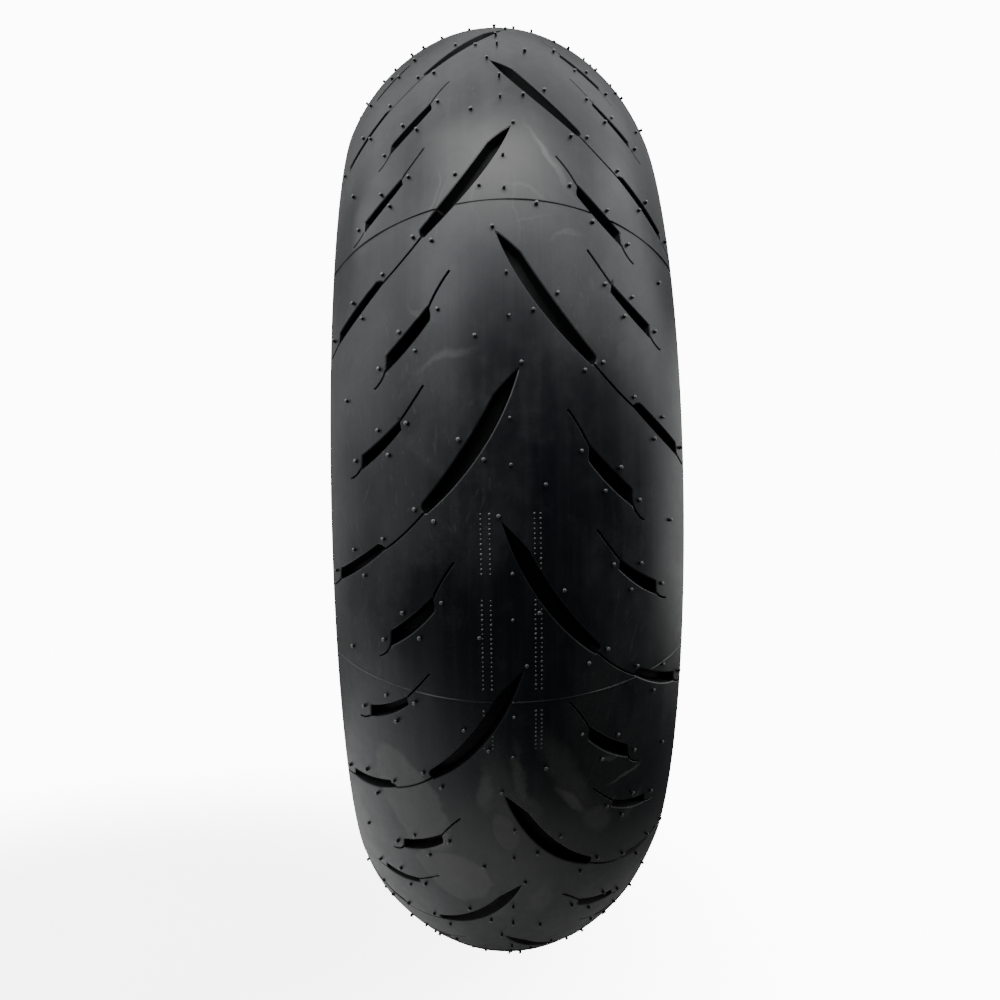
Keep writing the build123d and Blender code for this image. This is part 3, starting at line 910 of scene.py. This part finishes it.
# A band of fine radial ribs on each sidewall, where the real tyre carries its lettering.
RIBS = 720
RIB_BAND = (7.4, 14.6)        # distances from the tread edge
RIB_ROWS = 5
RIB_SECTION = ((-0.11, -0.1), (0.0, 0.3), (0.11, -0.1))   # degrees round the tyre and height


def rib(side, middle):
    """Points of one rib at a wheel angle."""
    points = []
    for row in np.linspace(*RIB_BAND, RIB_ROWS):
        axial, radial = [np.interp(row, travel, side_curve[:, axis]) for axis in (0, 1)]
        out = [np.interp(row, travel, side_normal[:, axis]) for axis in (0, 1)]
        for turn, height in RIB_SECTION:
            spot = [(axial + out[0] * height, radial + out[1] * height)]
            points += lathe_rows(spot, np.array([middle + turn]), side).reshape(-1, 3).tolist()
    return points


rib_points, rib_faces = [], []
for side in (-1, 1):
    for number in range(RIBS):
        rib_faces += ridge_faces(RIB_ROWS, len(rib_points))
        rib_points += rib(side, number * 360 / RIBS)
ribs = mesh_piece("sidewall_ribs", rib_points, rib_faces, side_look, smooth=40)

# The rim cushion: the face that meets the flange, the heel, the flat seat, the toe, and behind
# them a hollow round the wrapped bead.
heel = [
    (RIM_HALF - HEEL + HEEL * sin(a), SEAT_RADIUS + HEEL - HEEL * cos(a))
    for a in np.radians([90, 72, 54, 36, 18, 0])
]
flange = smooth_curve([SIDE_LINE[-1], (71.1, 232.7), (RIM_HALF, 230.3)], 5)
bead_face = [*flange, (RIM_HALF, 227.0), *heel, (58.3, SEAT_RADIUS), (52.35, SEAT_RADIUS)]
toe = [(50.9, 217.75), (50.4, 217.6), (50.6, 218.4), (52.2, 225.9)]
wrap = [
    (BEAD_CENTRE[0] - BEAD_RADIUS * sin(a), BEAD_CENTRE[1] - BEAD_RADIUS * cos(a))
    for a in np.radians([80, 40, 0, -40, -80])
]
under = [(67.3, 231.0), (70.5, 235.5), (73.2, 237.4)]
for side, label in ((-1, "left"), (1, "right")):
    cushion = turned(f"bead_face_{label}", [*bead_face, *toe, *wrap, *under], side)
    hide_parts(f"rim_cushion_{label}")

# ---- looks of the CAD pieces that stay ---------------------------------------------------------------
def bead_wire():
    """Coated steel wire, unevenly tarnished along its turns."""
    material = bpy.data.materials.new("bead_wire")
    material.use_nodes = True
    tree = material.node_tree
    shader = tree.nodes["Principled BSDF"]
    shader.inputs["Metallic"].default_value = 1.0
    tarnish = ramp(tree, streak_noise(tree, 20.0, 30.0, 3.0), 0.35, 0.65, 0.0, 1.0)
    colour = blend_colour(tree, tarnish, (0.42, 0.32, 0.18), (0.6, 0.5, 0.33))
    link(tree, colour, shader.inputs["Base Color"])
    link(tree, ramp(tree, tarnish, 0.0, 1.0, 0.28, 0.42), shader.inputs["Roughness"])
    return material


cord_look = rubber("cord_rubber", (0.03, 0.024, 0.018), (0.10, 0.075, 0.05), 0.6, streak=0.8)
steel_look = bead_wire()
LOOKS = {
    "tread_rubber": tread_look,
    "shoulder_rubber": tread_look,
    "side_rubber": side_look,
    "inner_rubber": inner_look,
    "rubberised_cord": cord_look,
    "bead_steel": steel_look,
}
for part in frame["record"]["subparts"]:
    mesh = frame["nodes"][part["node"]].data
    mesh.materials.clear()
    mesh.materials.append(LOOKS[part["material_slot"]])
    mesh.polygons.foreach_set("use_smooth", [True] * len(mesh.polygons))
    mesh.set_sharp_from_angle(angle=radians(SMOOTH_BELOW))

# ---- floor and light -----------------------------------------------------------------------------------
WHITE, DIM = 12.0, 0.05       # the surround as the camera sees it and as it lights the tyre
FLOOR_HALF = 0.6
FLOOR_PLACE = (0.0, -0.28, -0.3175)
FLOOR_FADE = (0.13, 0.55)     # the floor is whole inside the first radius and gone at the second
FLOOR_GLOW = 5.0              # only the camera sees it
scene = bpy.context.scene


def for_camera(tree, plain, seen):
    """A value that is different for what the camera sees directly."""
    ray = node(tree, "ShaderNodeLightPath").outputs["Is Camera Ray"]
    return ramp(tree, ray, 0.0, 1.0, plain, seen)


def studio():
    """A white surround that only the camera sees, and a dim one for the light."""
    world = bpy.data.worlds.new("studio")
    world.use_nodes = True
    tree = world.node_tree
    surround = tree.nodes["Background"]
    surround.inputs["Color"].default_value = (1.0, 1.0, 1.0, 1.0)
    link(tree, for_camera(tree, DIM, WHITE), surround.inputs["Strength"])
    return world


def pale_floor():
    """A pale floor that fades into the surround, with a glow that only the camera sees."""
    material = bpy.data.materials.new("pale_floor")
    material.use_nodes = True
    tree = material.node_tree
    shader = tree.nodes["Principled BSDF"]
    shader.inputs["Base Color"].default_value = (0.92, 0.92, 0.92, 1)
    shader.inputs["Roughness"].default_value = 0.8
    distance = node(tree, "ShaderNodeVectorMath", operation="LENGTH")
    link(tree, own_place(tree), distance.inputs[0])
    glow = node(tree, "ShaderNodeEmission")
    link(tree, for_camera(tree, 0.0, FLOOR_GLOW), glow.inputs["Strength"])
    both = node(tree, "ShaderNodeAddShader")
    link(tree, shader.outputs[0], both.inputs[0])
    link(tree, glow.outputs[0], both.inputs[1])
    fade = node(tree, "ShaderNodeMixShader")
    link(tree, ramp(tree, distance.outputs["Value"], *FLOOR_FADE, 0.0, 1.0), fade.inputs[0])
    link(tree, both.outputs[0], fade.inputs[1])
    link(tree, node(tree, "ShaderNodeBsdfTransparent").outputs[0], fade.inputs[2])
    link(tree, fade.outputs[0], tree.nodes["Material Output"].inputs["Surface"])
    return material


scene.world = studio()
floor_mesh = bpy.data.meshes.new("floor")
corners = [(x * FLOOR_HALF, y * FLOOR_HALF, 0) for x, y in ((-1, -1), (1, -1), (1, 1), (-1, 1))]
floor_mesh.from_pydata(corners, [], [(0, 1, 2, 3)])
floor_mesh.materials.append(pale_floor())
floor = bpy.data.objects.new("floor", floor_mesh)
floor.location = FLOOR_PLACE
scene.collection.objects.link(floor)


def softbox(name, place, size, brightness):
    """A rectangular area light aimed at the wheel centre, of a given brightness over its face."""
    light = bpy.data.lights.new(name, "AREA")
    light.shape = "RECTANGLE"
    light.size, light.size_y = size
    light.energy = brightness * pi * size[0] * size[1]
    lamp = bpy.data.objects.new(name, light)
    lamp.location = place
    lamp.rotation_euler = (-Vector(place)).to_track_quat("-Z", "Y").to_euler()
    lamp.visible_camera = False
    scene.collection.objects.link(lamp)


# In front, above and at the sides: place and size in metres, and brightness.
softbox("front_above", (0.75, 0, 1.3), (2.8, 0.95), 3.0)
softbox("left_front", (0.9, -0.9, 0.8), (0.95, 0.95), 1.5)
softbox("left_above", (0, -1.27, 0.8), (0.95, 0.95), 1.5)
softbox("right_above", (0, 1.27, 0.8), (0.95, 0.95), 2.0)
softbox("overhead", (-0.35, 0, 1.45), (3.2, 1.2), 1.0)
softbox("left_low", (0.3, -1.44, 0.0), (1.0, 0.7), 0.66)
# Behind, for the pale rims of light at the edges.
softbox("left_back", (-0.7, -1.3, 0.1), (1.0, 0.9), 0.7)
softbox("left_back_high", (-1.1, -0.85, 0.95), (0.9, 0.8), 0.38)
softbox("right_back_high", (-1.1, 0.85, 0.95), (0.9, 0.8), 0.34)
softbox("right_back", (-0.65, 1.3, 0.0), (1.3, 0.85), 1.05)

# ---- camera ----------------------------------------------------------------------------------------------
CAMERA_DISTANCE = 0.8152      # from the wheel centre
ROUND_TO_LEFT = -1.033        # degrees from the +X axis
PAN, TILT, ROLL = -0.056, -0.466, 1.009
SENSOR = 36.0                 # millimetres
FOCAL_LENGTH = 39.7116
turn = radians(ROUND_TO_LEFT)
place = Vector((cos(turn), sin(turn), 0)) * CAMERA_DISTANCE
ahead = -place.normalized()
axes = {"up": Vector((0, 0, 1)), "ahead": ahead, "right": ahead.cross(Vector((0, 0, 1)))}
for about, angle in (("up", PAN), ("right", TILT), ("ahead", ROLL)):
    spin = Matrix.Rotation(radians(angle), 3, axes[about])
    axes = {name: spin @ axis for name, axis in axes.items()}
lens = bpy.data.cameras.new("camera")
lens.sensor_width = SENSOR
lens.lens = FOCAL_LENGTH
lens.clip_start = 0.01
camera = bpy.data.objects.new("camera", lens)
facing = Matrix((axes["right"], axes["up"], -axes["ahead"])).transposed()
camera.matrix_world = Matrix.Translation(place) @ facing.to_4x4()
scene.collection.objects.link(camera)
scene.camera = camera
